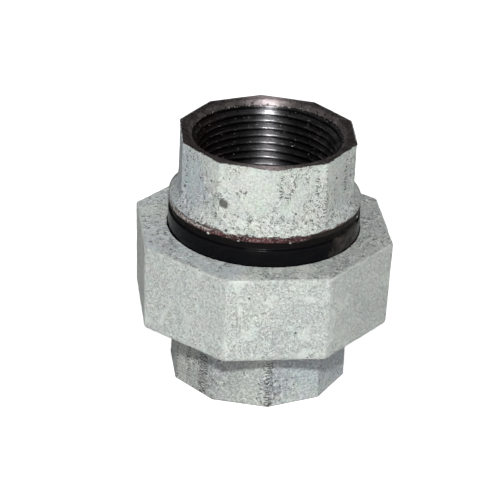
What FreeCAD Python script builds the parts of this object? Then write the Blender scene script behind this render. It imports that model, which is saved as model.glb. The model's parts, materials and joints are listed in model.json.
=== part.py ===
import FreeCAD, Part
import math
import os

# Pipe union for 1 1/4" pipe, flat seat, malleable iron. Millimetres, +Z up.
# The origin is the centre of the lower end's face; the waterway runs up the Z axis.
# The union is closed and hand tight: body, washer and tail are stacked face to face,
# and the nut hangs its lip over the tail's collar and screws down on the body.

# ---- sockets at both ends: parallel pipe thread, 11 threads to the inch ----
socket_wall_radius = 19.476      # crest of the internal thread, the radius of a plain tapped hole
socket_thread_length = 18.0      # full thread behind the mouth
mouth_cone_width = 1.82          # radial widening of the lead-in cone
mouth_cone_depth = 2.2
mouth_dish_width = 1.30          # radial widening of the shallow dish outside the cone
mouth_dish_depth = 1.45
waterway_step = 1.9              # shoulder from the thread's crest in to the bore between the sockets

# ---- ten-sided ends ----
end_sides = 10                   # ten flats, so that a wrench always finds a pair
end_corner_radius = 0.6
body_wall = 5.37                 # from the socket's thread crest out to a flat
tail_wall = 5.02
tail_turn = -2.7                 # degrees that the tail's corners stand away from the body's
flare_root = 0.4                 # the flares start this far inside the flats, and come out of them at a small angle

# ---- lower casting, from its face up to its seat ----
body_flats_height = 19.0
body_flare_height = 5.2          # sweep from the flats out to the threaded head
body_thread_length = 10.6
thread_lead_in = 1.0             # bevel on the first turn of the union thread

# ---- sealing washer ----
washer_thickness = 2.0
washer_setback = 3.9             # its hole stands this far back from the waterway's wall
washer_clearance = 0.9           # radial gap to the nut's bore

# ---- upper casting, from its seat up to its face ----
collar_thickness = 4.5
collar_hook = 2.79               # how far the collar stands out of the neck, under the nut's lip
collar_clearance = 0.9           # radial gap to the nut's bore
neck_exposed = 4.6               # turned neck that shows above the nut
groove_width = 2.4               # undercut above the turned neck
groove_depth = 0.6
rim_width = 1.6                  # unturned edge of the casting above the undercut
rim_inset = 0.1                  # the rim stands this far inside the turned neck
rim_step = 1.64                  # how far the rim stands out of the end's corners
tail_flare_height = 6.0          # sweep from the rim in to the flats
tail_flats_height = 13.8

# ---- union nut ----
nut_sides = 8
nut_wall = 3.86                  # from the bore out to a flat, at the lower face
nut_draft = 1.1                  # how much more it measures across flats at its upper face
nut_lip_thickness = 4.8
nut_skirt = 4.2                  # how far it reaches below the body's thread
lip_radial_clearance = 0.35      # around the turned neck
lip_axial_clearance = 0.20       # above the collar
thread_clearance = 0.30          # radial gap between the union thread's male and female envelopes
nut_corner_radius = 2.1
nut_lower_edge_radius = 1.4
nut_upper_edge_radius = 0.7

# ---- heights that follow from the stack ----
thread_base = body_flats_height + body_flare_height
body_seat = thread_base + body_thread_length
tail_seat = body_seat + washer_thickness
collar_top = tail_seat + collar_thickness
lip_base = collar_top + lip_axial_clearance
nut_top = lip_base + nut_lip_thickness
nut_base = thread_base - nut_skirt
neck_top = nut_top + neck_exposed
groove_top = neck_top + groove_width
rim_top = groove_top + rim_width
flare_top = rim_top + tail_flare_height
tail_face = flare_top + tail_flats_height

# ---- radii that follow from the bore outwards ----
waterway_radius = socket_wall_radius - waterway_step
washer_inner_radius = waterway_radius + washer_setback
body_flat_radius = socket_wall_radius + body_wall
tail_flat_radius = socket_wall_radius + tail_wall
rim_radius = tail_flat_radius / math.cos(math.pi / end_sides) + rim_step
neck_radius = rim_radius + rim_inset
groove_radius = neck_radius - groove_depth
lip_radius = neck_radius + lip_radial_clearance
collar_radius = neck_radius + collar_hook
nut_bore_radius = collar_radius + collar_clearance
washer_radius = nut_bore_radius - washer_clearance
male_thread_radius = nut_bore_radius - thread_clearance
nut_flat_radius = nut_bore_radius + nut_wall

UP = FreeCAD.Vector(0, 0, 1)
ORIGIN = FreeCAD.Vector(0, 0, 0)


def point(radius, height):
    """A point of a turned profile, in the XZ plane."""
    return FreeCAD.Vector(radius, 0, height)


def turned(profile):
    """A solid of revolution about Z. The profile is a closed list of (radius, height)."""
    corners = [point(r, z) for r, z in profile]
    outline = Part.makePolygon(corners + corners[:1])
    return Part.Face(outline).revolve(ORIGIN, UP, 360)


def polygon(flat_radius, sides, height, turn):
    """A closed regular outline. One corner faces -Y before the turn about Z, in degrees."""
    corner_radius = flat_radius / math.cos(math.pi / sides)
    corners = []
    for k in range(sides):
        angle = math.radians(turn - 90 + 360 * k / sides)
        corners.append(FreeCAD.Vector(corner_radius * math.cos(angle), corner_radius * math.sin(angle), height))
    return Part.makePolygon(corners + corners[:1])


def flats(lower_radius, upper_radius, sides, base, top, turn, corner_radius):
    """A many-sided block between two heights, its flats' radius tapering, its upright corners rounded."""
    outlines = [polygon(lower_radius, sides, base, turn), polygon(upper_radius, sides, top, turn)]
    block = Part.makeLoft(outlines, True, True)
    corners = [e for e in block.Edges if abs(e.Vertexes[0].Z - e.Vertexes[1].Z) > (top - base) / 2]
    return block.makeFillet(corner_radius, corners)


def round_face(block, height, radius):
    """The block with the edges of its face at this height rounded."""
    edges = [e for e in block.Edges if all(abs(v.Z - height) < 1e-6 for v in e.Vertexes)]
    return block.makeFillet(radius, edges)


def flare(inner_radius, inner_height, outer_radius, outer_height):
    """A solid trumpet about Z: one arc that leaves a cylinder along its wall and sweeps out to a rim."""
    start = point(inner_radius, inner_height)
    end = point(outer_radius, outer_height)
    across = outer_radius - inner_radius
    along = outer_height - inner_height
    arc_radius = (across ** 2 + along ** 2) / (2 * across)
    half_turn = math.asin(abs(along) / arc_radius) / 2
    middle = point(
        inner_radius + arc_radius * (1 - math.cos(half_turn)),
        inner_height + math.copysign(arc_radius * math.sin(half_turn), along),
    )
    outline = Part.Wire([
        Part.Arc(start, middle, end).toShape(),
        Part.makeLine(end, point(0, outer_height)),
        Part.makeLine(point(0, outer_height), point(0, inner_height)),
        Part.makeLine(point(0, inner_height), start),
    ])
    return Part.Face(outline).revolve(ORIGIN, UP, 360)


def socket(face_height, direction):
    """The void of one tapped socket: dished mouth, lead-in cone, and the thread's plain wall.

    direction is +1 where the mouth faces up and -1 where it faces down.
    """
    step_radius = socket_wall_radius + mouth_cone_width
    dish_radius = step_radius + mouth_dish_width
    step = face_height - direction * mouth_dish_depth
    cone_end = step - direction * mouth_cone_depth
    wall_end = cone_end - direction * socket_thread_length
    outside = face_height + direction * mouth_dish_depth
    return turned([
        (0, outside),
        (dish_radius, outside),
        (dish_radius, face_height),
        (step_radius, step),
        (socket_wall_radius, cone_end),
        (socket_wall_radius, wall_end),
        (0, wall_end),
    ])


def waterway(base, top):
    """The void of the plain bore through one casting."""
    return Part.makeCylinder(waterway_radius, top - base, FreeCAD.Vector(0, 0, base), UP)


def threaded_body():
    """Lower casting: ten-sided socket end below, male thread and flat seat above."""
    head_base_radius = male_thread_radius - thread_lead_in
    end = flats(body_flat_radius, body_flat_radius, end_sides, 0, thread_base, 0, end_corner_radius)
    spread = flare(body_flat_radius - flare_root, body_flats_height, head_base_radius, thread_base)
    head = turned([
        (0, thread_base),
        (head_base_radius, thread_base),
        (male_thread_radius, thread_base + thread_lead_in),
        (male_thread_radius, body_seat - thread_lead_in),
        (head_base_radius, body_seat),
        (0, body_seat),
    ])
    return end.fuse([spread, head]).cut([waterway(0, body_seat), socket(0, -1)]).removeSplitter()


def sealing_washer():
    """Flat washer squeezed between the two seats."""
    return turned([
        (washer_inner_radius, body_seat),
        (washer_radius, body_seat),
        (washer_radius, tail_seat),
        (washer_inner_radius, tail_seat),
    ])


def tail_piece():
    """Upper casting: collar and turned neck below, flare and ten-sided socket end above."""
    shank = turned([
        (0, tail_seat),
        (collar_radius, tail_seat),
        (collar_radius, collar_top),
        (neck_radius, collar_top),
        (neck_radius, neck_top),
        (groove_radius, neck_top),
        (groove_radius, groove_top),
        (rim_radius, groove_top),
        (rim_radius, rim_top),
        (0, rim_top),
    ])
    sweep = flare(tail_flat_radius - flare_root, flare_top, rim_radius, rim_top)
    end = flats(tail_flat_radius, tail_flat_radius, end_sides, rim_top, tail_face, tail_turn, end_corner_radius)
    return shank.fuse([sweep, end]).cut([waterway(tail_seat, tail_face), socket(tail_face, 1)]).removeSplitter()


def union_nut():
    """Eight-sided nut: a lip above hooks over the collar, the thread below draws it down."""
    flat_to_front = 180 / nut_sides
    upper_flat_radius = nut_flat_radius + nut_draft / 2
    block = flats(nut_flat_radius, upper_flat_radius, nut_sides, nut_base, nut_top, flat_to_front, nut_corner_radius)
    block = round_face(block, nut_base, nut_lower_edge_radius)
    block = round_face(block, nut_top, nut_upper_edge_radius)
    bore = turned([
        (0, nut_base),
        (nut_bore_radius + thread_lead_in, nut_base),
        (nut_bore_radius, nut_base + thread_lead_in),
        (nut_bore_radius, lip_base),
        (lip_radius, lip_base),
        (lip_radius, nut_top),
        (0, nut_top),
    ])
    return block.cut(bore).removeSplitter()


os.makedirs("parts", exist_ok=True)
for piece in (threaded_body, sealing_washer, tail_piece, union_nut):
    shape = piece()
    if len(shape.Solids) != 1 or not shape.isValid():
        raise RuntimeError(f"{piece.__name__} isn't one valid solid")
    shape.Solids[0].exportStep(f"parts/{piece.__name__}.step")
    print(f"{piece.__name__}: {shape.Volume / 1000:.1f} cm3")
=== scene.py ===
import json
import math
from typing import NamedTuple

import bpy
import numpy as np
from mathutils import Matrix, Vector


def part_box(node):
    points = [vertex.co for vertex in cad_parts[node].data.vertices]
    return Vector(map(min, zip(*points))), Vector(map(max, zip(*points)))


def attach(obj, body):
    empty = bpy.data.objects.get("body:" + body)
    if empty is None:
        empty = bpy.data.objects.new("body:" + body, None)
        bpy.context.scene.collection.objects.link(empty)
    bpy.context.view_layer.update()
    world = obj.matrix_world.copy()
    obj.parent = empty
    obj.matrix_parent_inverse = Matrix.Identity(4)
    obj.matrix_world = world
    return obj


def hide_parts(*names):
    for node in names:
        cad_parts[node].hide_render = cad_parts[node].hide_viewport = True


bl_info = {
    "name": "Pipe union",
    "version": (1, 0, 0),
    "blender": (4, 5, 0),
    "location": "View3D > Sidebar > Union",
    "description": "Builds a galvanised 1 1/4 inch pipe union: body, washer, tail and union nut",
    "category": "Add Mesh",
}

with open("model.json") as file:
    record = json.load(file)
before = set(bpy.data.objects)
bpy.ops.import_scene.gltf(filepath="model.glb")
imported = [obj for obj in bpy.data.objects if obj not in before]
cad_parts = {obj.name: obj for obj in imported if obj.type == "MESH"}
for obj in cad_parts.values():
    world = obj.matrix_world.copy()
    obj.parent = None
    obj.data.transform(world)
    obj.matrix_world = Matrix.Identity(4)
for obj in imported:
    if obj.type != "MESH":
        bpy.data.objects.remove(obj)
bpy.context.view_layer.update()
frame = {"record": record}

MM = 0.001
TURN = 2 * math.pi

# ---- heights and radii read from the frame, in metres ----
BODY_LOW, BODY_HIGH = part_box("threaded_body")
TAIL_LOW, TAIL_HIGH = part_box("tail_piece")
NUT_LOW, NUT_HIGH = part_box("union_nut")
WASHER_LOW, WASHER_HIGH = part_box("sealing_washer")
SOCKET = next(m for m in frame["record"]["mounts"] if m["name"] == "upper_socket")
SOCKET_CREST = SOCKET["dims"]["r_mm"] * MM

# ---- spacing of the mesh's rows, and steps in one rounded corner of a profile ----
FINE = 0.185 * MM              # along a threaded wall
SKIN = 0.50 * MM               # along a cast wall
ARC_STEPS = 4

SOCKET_RELIEF = 24.0 * MM      # a socket keeps its thread's crest radius this far in from the face

# ---- upright columns of nicks: degrees round, half width, from height, to height, strength ----
BODY_NICKS = (
    (-71, 2.5, 0, 20, 1.1), (-60, 4, 3, 20, 1.1), (-46, 7, 0, 20, 1.15), (0, 4.5, 0, 20, 1.15),
    (36, 2.5, 2, 18, 0.6), (108, 4, 0, 20, 0.9), (150, 5, 4, 20, 0.8), (-144, 4, 0, 18, 1.0),
)
TAIL_NICKS = (
    (2.5, 2.4, 66, 73, 1.2), (27, 3, 62, 74, 0.9), (33, 2.2, 58, 74, 0.9), (44, 4, 60, 74, 0.8),
    (57, 5, 62, 74, 1.0), (-33, 2.5, 64, 74, 0.7), (-70, 3, 60, 74, 0.8), (104, 4, 60, 74, 0.9),
    (-110, 4, 60, 74, 0.9), (170, 5, 62, 74, 0.8),
)

# ---- beads of zinc on the bare rim: degrees round, height in millimetres ----
BEADS = ((-41.6, 53.5), (-22.6, 53.2), (7.8, 53.2), (64, 53.6), (151, 53.3), (-120, 53.5))
BEAD_RADIUS = 0.75 * MM


# ---------------------------------------------------------------------------
# Sizes and colours that a user would change
# ---------------------------------------------------------------------------

def length(name, description, millimetres):
    """A length property whose default is given in millimetres."""
    return bpy.props.FloatProperty(
        name=name, description=description, default=millimetres * MM, unit="LENGTH", precision=5)


def colour(name, description, red, green, blue):
    """A colour property, linear red, green and blue."""
    return bpy.props.FloatVectorProperty(
        name=name, description=description, subtype="COLOR", size=3, min=0, max=1,
        default=(red, green, blue))


class UnionSizes(bpy.types.PropertyGroup):
    """Sizes of the castings' skin and threads that the frame doesn't give."""

    tail_flats: length("Tail flats", "Axis to a flat of the tail's end", 24.496)
    body_flats: length("Body flats", "Axis to a flat of the body's end", 24.846)
    tail_turn: bpy.props.FloatProperty(
        name="Tail turn", description="How far the tail's corners stand away from the body's",
        default=math.radians(-2.7), subtype="ANGLE")
    end_corner: length("End corner", "Rounding of the ten-sided ends' upright corners", 0.75)
    face_edge: length("Face edge", "Rounding where a turned end face meets the flats", 0.22)

    thread_pitch: length("Pitch", "Advance of every thread in one turn", 2.309)
    thread_depth: length("Thread depth", "Crest to root", 1.40)
    union_thread: length("Union thread", "Radius halfway up the union thread's flanks", 31.04)
    thread_gap: length("Thread gap", "Radial clearance between nut and body threads", 0.30)
    socket_thread: length("Socket thread", "Length of full thread in each socket", 18.0)

    dish_width: length("Dish width", "Radial width of the mouth's shallow dish", 1.30)
    dish_depth: length("Dish depth", "Depth of the mouth's shallow dish", 1.45)
    cone_width: length("Cone width", "Radial width of the lead-in cone", 1.82)
    cone_depth: length("Cone depth", "Depth of the lead-in cone", 2.2)
    waterway: length("Waterway", "Radius of the bore between the sockets", 17.576)

    neck: length("Neck", "Radius of the turned neck", 27.497)
    neck_length: length("Neck length", "Seat to the top of the turned neck", 14.1)
    groove_width: length("Groove width", "Undercut above the neck", 2.4)
    groove_depth: length("Groove depth", "Depth of the undercut", 0.45)
    rim_width: length("Rim width", "Bare edge of the casting above the undercut", 1.6)
    tail_flare: length("Tail flare", "Height of the sweep from the rim to the flats", 7.0)
    collar_thickness: length("Collar thickness", "Height of the collar under the nut's lip", 4.5)

    body_flats_height: length("Body flats height", "Lower face to the start of the body's flare", 19.0)
    body_flare: length("Body flare", "Height of the sweep out to the body's thread", 5.2)
    washer_hole: length("Washer hole", "Radius of the washer's hole", 21.476)

    nut_draft: length("Nut draft", "How much more the nut measures across flats at its top", 1.1)
    nut_corner: length("Nut corner", "Rounding of the nut's upright corners", 1.4)
    nut_lip: length("Nut lip", "Thickness of the lip over the collar", 4.8)
    lip_gap: length("Lip gap", "Radial clearance of the lip around the neck", 0.25)


class UnionColours(bpy.types.PropertyGroup):
    """Base colours of the finishes."""

    zinc_light: colour("Zinc, light", "Clean bright zinc", 0.67, 0.715, 0.655)
    zinc_dark: colour("Zinc, dull", "Dull or thin zinc", 0.40, 0.435, 0.42)
    zinc_blue: colour("Zinc, blue", "Bluish patches of zinc", 0.42, 0.47, 0.52)
    pit: colour("Pit", "Dirt in the casting's pits", 0.045, 0.045, 0.04)
    turned: colour("Turned iron", "Bare iron left by the cutting tool", 0.62, 0.535, 0.54)
    tapped: colour("Tapped iron", "Oily iron of the threads", 0.27, 0.265, 0.28)
    oil: colour("Oil", "Black cutting oil on the neck", 0.003, 0.003, 0.004)
    rust: colour("Rust", "Red-brown bare rim", 0.110, 0.045, 0.046)
    bruise: colour("Bruise", "Bottom of a chip in the zinc", 0.17, 0.17, 0.155)
    rubber: colour("Rubber", "Sheet rubber of the washer", 0.018, 0.018, 0.019)


# ---------------------------------------------------------------------------
# Shapes: every piece is one closed surface over (angle, place along a profile)
# ---------------------------------------------------------------------------

def corner_profile(corners):
    """Samples a profile with rounded corners, as whole arrays.

    corners is a list of (radius, height, rounding, step, flatness, finish). The stretch that leaves a corner
    is cut into pieces of about `step`. Flatness runs from 0 on a turned surface to 1 on a many-sided one.
    The finish names the stretch and the arc that ends it. A corner of rounding q between two stretches that
    meet at the angle a becomes an arc that touches both at q / tan(a / 2) from the corner.
    """
    spots = np.array([c[:2] for c in corners])
    before = np.roll(spots, 1, axis=0) - spots
    after = np.roll(spots, -1, axis=0) - spots
    unit_before = before / np.linalg.norm(before, axis=1, keepdims=True)
    unit_after = after / np.linalg.norm(after, axis=1, keepdims=True)
    rounding = np.array([c[2] for c in corners])
    half = np.arccos(np.clip((unit_before * unit_after).sum(axis=1), -1, 1)) / 2
    setback = rounding / np.tan(half)
    arc_start = spots + unit_before * setback[:, None]
    arc_end = spots + unit_after * setback[:, None]
    places, flatness, finish = [], [], []
    for k, corner in enumerate(corners):
        nxt = (k + 1) % len(corners)
        if rounding[k] > 0:
            t = np.arange(ARC_STEPS)[:, None] / ARC_STEPS
            # a quadratic curve through the two touching points, with the corner as its middle
            curve = (1 - t) ** 2 * arc_start[k] + 2 * t * (1 - t) * spots[k] + t ** 2 * arc_end[k]
            places.append(curve)
            flatness.append(np.full(ARC_STEPS, corner[4]))
            finish += [corners[k - 1][5]] * ARC_STEPS
        span = arc_start[nxt] - arc_end[k]
        count = max(1, int(round(np.linalg.norm(span) / corner[3])))
        t = np.arange(count)[:, None] / count
        places.append(arc_end[k] + span * t)
        flatness.append(corner[4] + (corners[nxt][4] - corner[4]) * t[:, 0])
        finish += [corner[5]] * count
    places = np.concatenate(places)
    return places[:, 0], places[:, 1], np.concatenate(flatness), np.array(finish)


def angles(sides, per_side, crowding):
    """Angles round the piece, closer together at its corners, as one row of a grid.

    Across one flat u runs from -1 to 1, and the angle from the flat's middle is
    pi / sides * (u + crowding * sin(pi u) / pi).
    """
    u = (np.arange(per_side) / per_side) * 2 - 1
    bend = math.pi / sides * (u + crowding * np.sin(math.pi * u) / math.pi)
    centres = (np.arange(sides) + 0.5) * TURN / sides
    return (centres[:, None] + bend[None, :]).reshape(1, -1)


def many_sided(theta, sides, corner):
    """Distance from the axis to a regular outline whose flats stand 1 away, divided by that 1.

    At an angle p from a flat's middle it is 1 / cos(p). Near a corner it follows a circle of radius `corner`
    whose centre lies c = (1 - corner) / cos(pi / sides) out, at q from the corner:
    c cos(q) + sqrt(corner^2 - c^2 sin(q)^2).
    """
    half = math.pi / sides
    q = np.abs((theta + half) % (2 * half) - half)
    centre = (1 - corner) / math.cos(half)
    bound = half - math.atan((1 - corner) * math.tan(half))
    flat = 1 / np.cos(half - q)
    arc = centre * np.cos(q) + np.sqrt(np.maximum(corner ** 2 - (centre * np.sin(q)) ** 2, 0))
    return np.where(q > bound, flat, arc)


def soft_max(a, b, blend):
    """The larger of two radii, joined by a fillet: (a + b + sqrt((a - b)^2 + blend^2)) / 2."""
    return (a + b + np.sqrt((a - b) ** 2 + blend ** 2)) / 2


def thread_wave(theta, height, pitch):
    """0 at the foot and 1 at the top of a right-hand thread: straight flanks with a narrow land at each end.

    The wave's phase is height / pitch - angle / (2 pi), so that a full turn climbs one pitch.
    """
    phase = (height / pitch - theta / TURN) % 1.0
    ramp = np.abs(2 * phase - 1)
    straight = np.clip((ramp - 0.14) / 0.74, 0, 1)
    return 0.8 * straight + 0.2 * (0.5 - 0.5 * np.cos(math.pi * ramp))


HASH_PRIMES = np.array([73856093, 19349663, 83492791])    # one for each axis of the lattice


def lattice_noise(points, cell, seed):
    """Smooth noise from 0 to 1: hashed values at the corners of a cubic lattice, eased between them.

    A corner's key is mixed by shifts and odd factors, and its last sixteen bits are the value.
    """
    place = points / cell
    base = np.floor(place).astype(np.int64)
    ease = place - base
    ease = ease * ease * (3 - 2 * ease)
    total = np.zeros(points.shape[:-1])
    for corner in np.ndindex(2, 2, 2):
        key = (base + np.array(corner)) * HASH_PRIMES
        key = key[..., 0] ^ key[..., 1] ^ key[..., 2] ^ (seed * 2654435761)
        key = ((key ^ (key >> 15)) * 2246822519) & 0xFFFFFFFF
        key = ((key ^ (key >> 13)) * 3266489917) & 0xFFFFFFFF
        value = ((key ^ (key >> 16)) & 0xFFFF) / 65535
        weight = np.where(np.array(corner) == 1, ease, 1 - ease).prod(axis=-1)
        total += value * weight
    return total


def surface_normals(points):
    """Unit normals of a grid that closes on itself both ways: the cross product of its two directions."""
    along = np.roll(points, -1, axis=0) - np.roll(points, 1, axis=0)
    around = np.roll(points, -1, axis=1) - np.roll(points, 1, axis=1)
    normal = np.cross(around, along)
    return normal / np.maximum(np.linalg.norm(normal, axis=2, keepdims=True), 1e-12)


def cast_skin(points, sunk, seed):
    """Sinks a cast surface below its nominal face by an uneven skin: three sizes of lattice noise."""
    broad = lattice_noise(points, 9.0 * MM, seed)
    medium = lattice_noise(points, 3.2 * MM, seed + 1)
    fine = lattice_noise(points, 1.15 * MM, seed + 2)
    depth = 0.16 * broad + 0.10 * medium + 0.085 * fine
    return points - surface_normals(points) * (depth * MM * sunk)[..., None]


def nick_columns(turn, level, columns):
    """Marks upright columns of nicks, each an (angle, half width, from height, to height, strength).

    Angles are in degrees and heights in millimetres. Across a column the mark is 1 - (distance / width)^2.
    """
    marks = np.zeros(turn.shape)
    for angle, width, low, high, strength in columns:
        off = np.degrees((turn - math.radians(angle) + math.pi) % TURN - math.pi)
        inside = (level > low * MM) & (level < high * MM)
        marks = np.maximum(marks, strength * inside * np.clip(1 - (off / width) ** 2, 0, 1))
    return marks


def bead_marks(points, rim):
    """Marks the beads of zinc on the rim: 1 - distance / radius, from the nearest bead."""
    marks = np.zeros(points.shape[:-1])
    for angle, level in BEADS:
        centre = to_points(math.radians(angle), rim, level * MM)
        marks = np.maximum(marks, np.clip(1 - np.linalg.norm(points - centre, axis=2) / BEAD_RADIUS, 0, 1))
    return marks


def chip_mark(points, angle, radius, height):
    """1 inside a small ragged chip and 0 outside: a slanted lozenge, |p|^1.5 + |q|^1.5 under a noisy limit.

    p and q are distances from the chip's centre along the surface, turned by 30 degrees, over its half sizes
    of 1.35 and 1.9 mm.
    """
    offset = points - to_points(angle, radius, height)
    across = offset[..., 0] * math.cos(angle) + offset[..., 1] * math.sin(angle)
    depth = offset[..., 0] * math.sin(angle) - offset[..., 1] * math.cos(angle)
    p = (across * 0.87 + offset[..., 2] * 0.5) / (1.35 * MM)
    q = (offset[..., 2] * 0.87 - across * 0.5) / (1.9 * MM)
    ragged = (np.abs(p) ** 1.5 + np.abs(q) ** 1.5) * (0.7 + 0.6 * lattice_noise(points, 0.8 * MM, 8))
    return np.clip((1.0 - ragged) / 0.3, 0, 1) * (np.abs(depth) < 4 * MM)


def closed_mesh(name, points, finishes, finish_order, attributes):
    """A mesh from a grid of points that closes on itself both ways, with faces outwards and smooth.

    Face (i, j) joins points (i, j), (i, j+1), (i+1, j+1), (i+1, j). Its material is its row's finish.
    """
    rows, columns = points.shape[:2]
    index = np.arange(rows * columns).reshape(rows, columns)
    right = np.roll(index, -1, axis=1)
    below = np.roll(index, -1, axis=0)
    corner = np.roll(right, -1, axis=0)
    quads = np.stack([index, right, corner, below], axis=-1).reshape(-1, 4)
    flat = points.reshape(-1, 3)
    a, b, c, d = (flat[quads[:, k]] for k in range(4))
    volume = (np.cross(b - a, c - a) * a).sum() + (np.cross(c - a, d - a) * a).sum()
    if volume < 0:
        quads = quads[:, ::-1]
    mesh = bpy.data.meshes.new(name)
    mesh.vertices.add(len(flat))
    mesh.vertices.foreach_set("co", flat.ravel())
    mesh.loops.add(quads.size)
    mesh.loops.foreach_set("vertex_index", quads.ravel().astype(np.int32))
    mesh.polygons.add(len(quads))
    mesh.polygons.foreach_set("loop_start", np.arange(0, quads.size, 4, dtype=np.int32))
    slots = np.array([finish_order.index(f) for f in finishes], dtype=np.int32)
    mesh.polygons.foreach_set("material_index", np.repeat(slots, columns))
    mesh.polygons.foreach_set("use_smooth", np.ones(len(quads), dtype=bool))
    for label, values in attributes.items():
        layer = mesh.attributes.new(label, "FLOAT", "POINT")
        layer.data.foreach_set("value", values.ravel().astype(np.float32))
    mesh.update()
    if mesh.validate():
        raise RuntimeError(f"{name} has faulty faces")
    return mesh


def add_piece(name, points, tag, finishes, marks, node, body):
    """Puts a piece in the scene, to stand for a CAD node and ride on its body.

    tag names each row's finish, finishes gives each finish its material, and marks are mesh attributes.
    """
    mesh = closed_mesh(name, points, tag, list(finishes), marks)
    for material in finishes.values():
        mesh.materials.append(material)
    piece = bpy.data.objects.new(name, mesh)
    bpy.context.scene.collection.objects.link(piece)
    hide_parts(node)
    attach(piece, body)


def to_points(theta, radius, height):
    """Points of a grid: angle 0 faces -Y and grows towards +X."""
    radius, height = np.broadcast_arrays(radius, height)
    return np.stack([radius * np.sin(theta), -radius * np.cos(theta), height], axis=-1)


def flare_radius(height, rim_height, rim_radius, foot_radius, sweep):
    """Radius of a trumpet that leaves a cylinder along its wall: foot + (rim - foot) * (1 - sqrt(1 - t^2)).

    t runs from 0 at the foot, `sweep` away from the rim (negative where the rim is above), to 1 at the rim.
    It stops just short of 1, where the curve would run square to the axis.
    """
    last = 0.985
    t = np.clip(1 - (height - rim_height) / sweep, 0, last)
    full = 1 - math.sqrt(1 - last ** 2)
    return foot_radius + (rim_radius - foot_radius) * (1 - np.sqrt(1 - t ** 2)) / full


def socket_rows(face, direction, sizes):
    """Profile corners of a tapped socket that opens along `direction`, from its end face to the waterway."""
    step_radius = SOCKET_CREST + sizes.cone_width
    dish_radius = step_radius + sizes.dish_width
    step = face - direction * sizes.dish_depth
    cone_end = step - direction * sizes.cone_depth
    wall_end = cone_end - direction * sizes.socket_thread
    shoulder = wall_end - direction * (SOCKET_CREST - sizes.waterway)
    return [
        (dish_radius, face, 0.30 * MM, 0.35 * MM, 0, "face"),
        (step_radius, step, 0.12 * MM, 0.30 * MM, 0, "bore"),
        (SOCKET_CREST, cone_end, 0, FINE, 0, "bore"),
        (SOCKET_CREST, wall_end, 0, 0.8 * MM, 0, "bore"),
        (sizes.waterway, shoulder, 0.4 * MM, 2.5 * MM, 0, "bore"),
    ]


def walked_back(rows, last_step, last_finish):
    """The same corners the other way round, so that each stretch between them keeps its step and finish."""
    stretches = [(last_step, last_finish)] + [(row[3], row[5]) for row in rows[:-1]]
    return [(*row[:3], step, row[4], name) for row, (step, name) in zip(rows[::-1], stretches[::-1])]


def lay_out(corners, theta, sides, corner):
    """Lays a profile round a row of angles: radii, heights, each row's finish and the many-sided outline.

    A radius is the profile's own times 1 + flatness * (outline - 1).
    """
    radius, height, flatness, tag = corner_profile(corners)
    sided = many_sided(theta, sides, corner)
    return radius[:, None] * (1 + flatness[:, None] * (sided - 1)), height[:, None], tag, sided


def cut_socket_thread(grid, tag, theta, height, face, direction, sizes):
    """Opens the void of a socket to the thread: the larger of its wall and crest + depth * wave.

    The thread runs out over its last turn and a half. Depth from the mouth's face is measured along Z.
    """
    inward = (face - height) * direction
    last = sizes.dish_depth + sizes.cone_depth + sizes.socket_thread
    fade = np.clip((last - inward) / (1.5 * sizes.thread_pitch), 0, 1) * (inward > 0.3 * MM)
    wave = thread_wave(theta, height, sizes.thread_pitch)
    wall = np.isin(tag, ["bore", "face"])[:, None] & (inward < SOCKET_RELIEF)
    return np.where(wall, np.maximum(grid, SOCKET_CREST + sizes.thread_depth * wave * fade), grid)


# ---------------------------------------------------------------------------
# Short forms for shader nodes, and the node groups that the finishes share
# ---------------------------------------------------------------------------

class Nodes:
    """Short forms for adding and joining nodes in one tree. add returns the node, the others a socket."""

    def __init__(self, tree):
        self.tree = tree

    def add(self, kind, inputs=None, **settings):
        node = self.tree.nodes.new(kind)
        for key, value in settings.items():
            setattr(node, key, value)
        for key, value in (inputs or {}).items():
            self.feed(node.inputs[key], value)
        return node

    def feed(self, socket, value):
        """Links an output socket to the socket, or sets the socket's own value."""
        if isinstance(value, bpy.types.NodeSocket):
            self.tree.links.new(value, socket)
        else:
            socket.default_value = value

    def math(self, operation, *values):
        return self.add("ShaderNodeMath", dict(enumerate(values)), operation=operation).outputs[0]

    def times(self, first, second):
        return self.math("MULTIPLY", first, second)

    def plus(self, first, second):
        return self.math("ADD", first, second)

    def minus(self, first, second):
        return self.math("SUBTRACT", first, second)

    def times_plus(self, first, second, third):
        return self.math("MULTIPLY_ADD", first, second, third)

    def attribute(self, name):
        return self.add("ShaderNodeAttribute", attribute_name=name).outputs["Fac"]

    def noise(self, vector, scale, detail=3.0, roughness=0.55, distortion=0.0):
        node = self.add("ShaderNodeTexNoise", {"Vector": vector, "Scale": scale, "Detail": detail,
                                               "Roughness": roughness, "Distortion": distortion})
        return node.outputs["Fac"]

    def spread(self, value, low, high, to_low=0.0, to_high=1.0):
        """Eases from to_low to to_high while the value runs from low to high."""
        node = self.add("ShaderNodeMapRange", {"Value": value, "From Min": low, "From Max": high,
                                               "To Min": to_low, "To Max": to_high})
        node.interpolation_type = "SMOOTHSTEP"
        return node.outputs["Result"]

    def blend(self, factor, first, second, mode="MIX"):
        node = self.add("ShaderNodeMix", data_type="RGBA", blend_type=mode)
        self.feed(node.inputs["Factor"], factor)
        self.feed(node.inputs[6], first)
        self.feed(node.inputs[7], second)
        return node.outputs[2]

    def group(self, name, **inputs):
        """Places one of the shared groups with its own values, and returns its outputs."""
        return self.add("ShaderNodeGroup", inputs, node_tree=bpy.data.node_groups[name]).outputs

    def pits(self, place, scale, share, size):
        return self.group("pits", Vector=place, Scale=scale, Share=share, Size=size)["Mask"]


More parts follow.
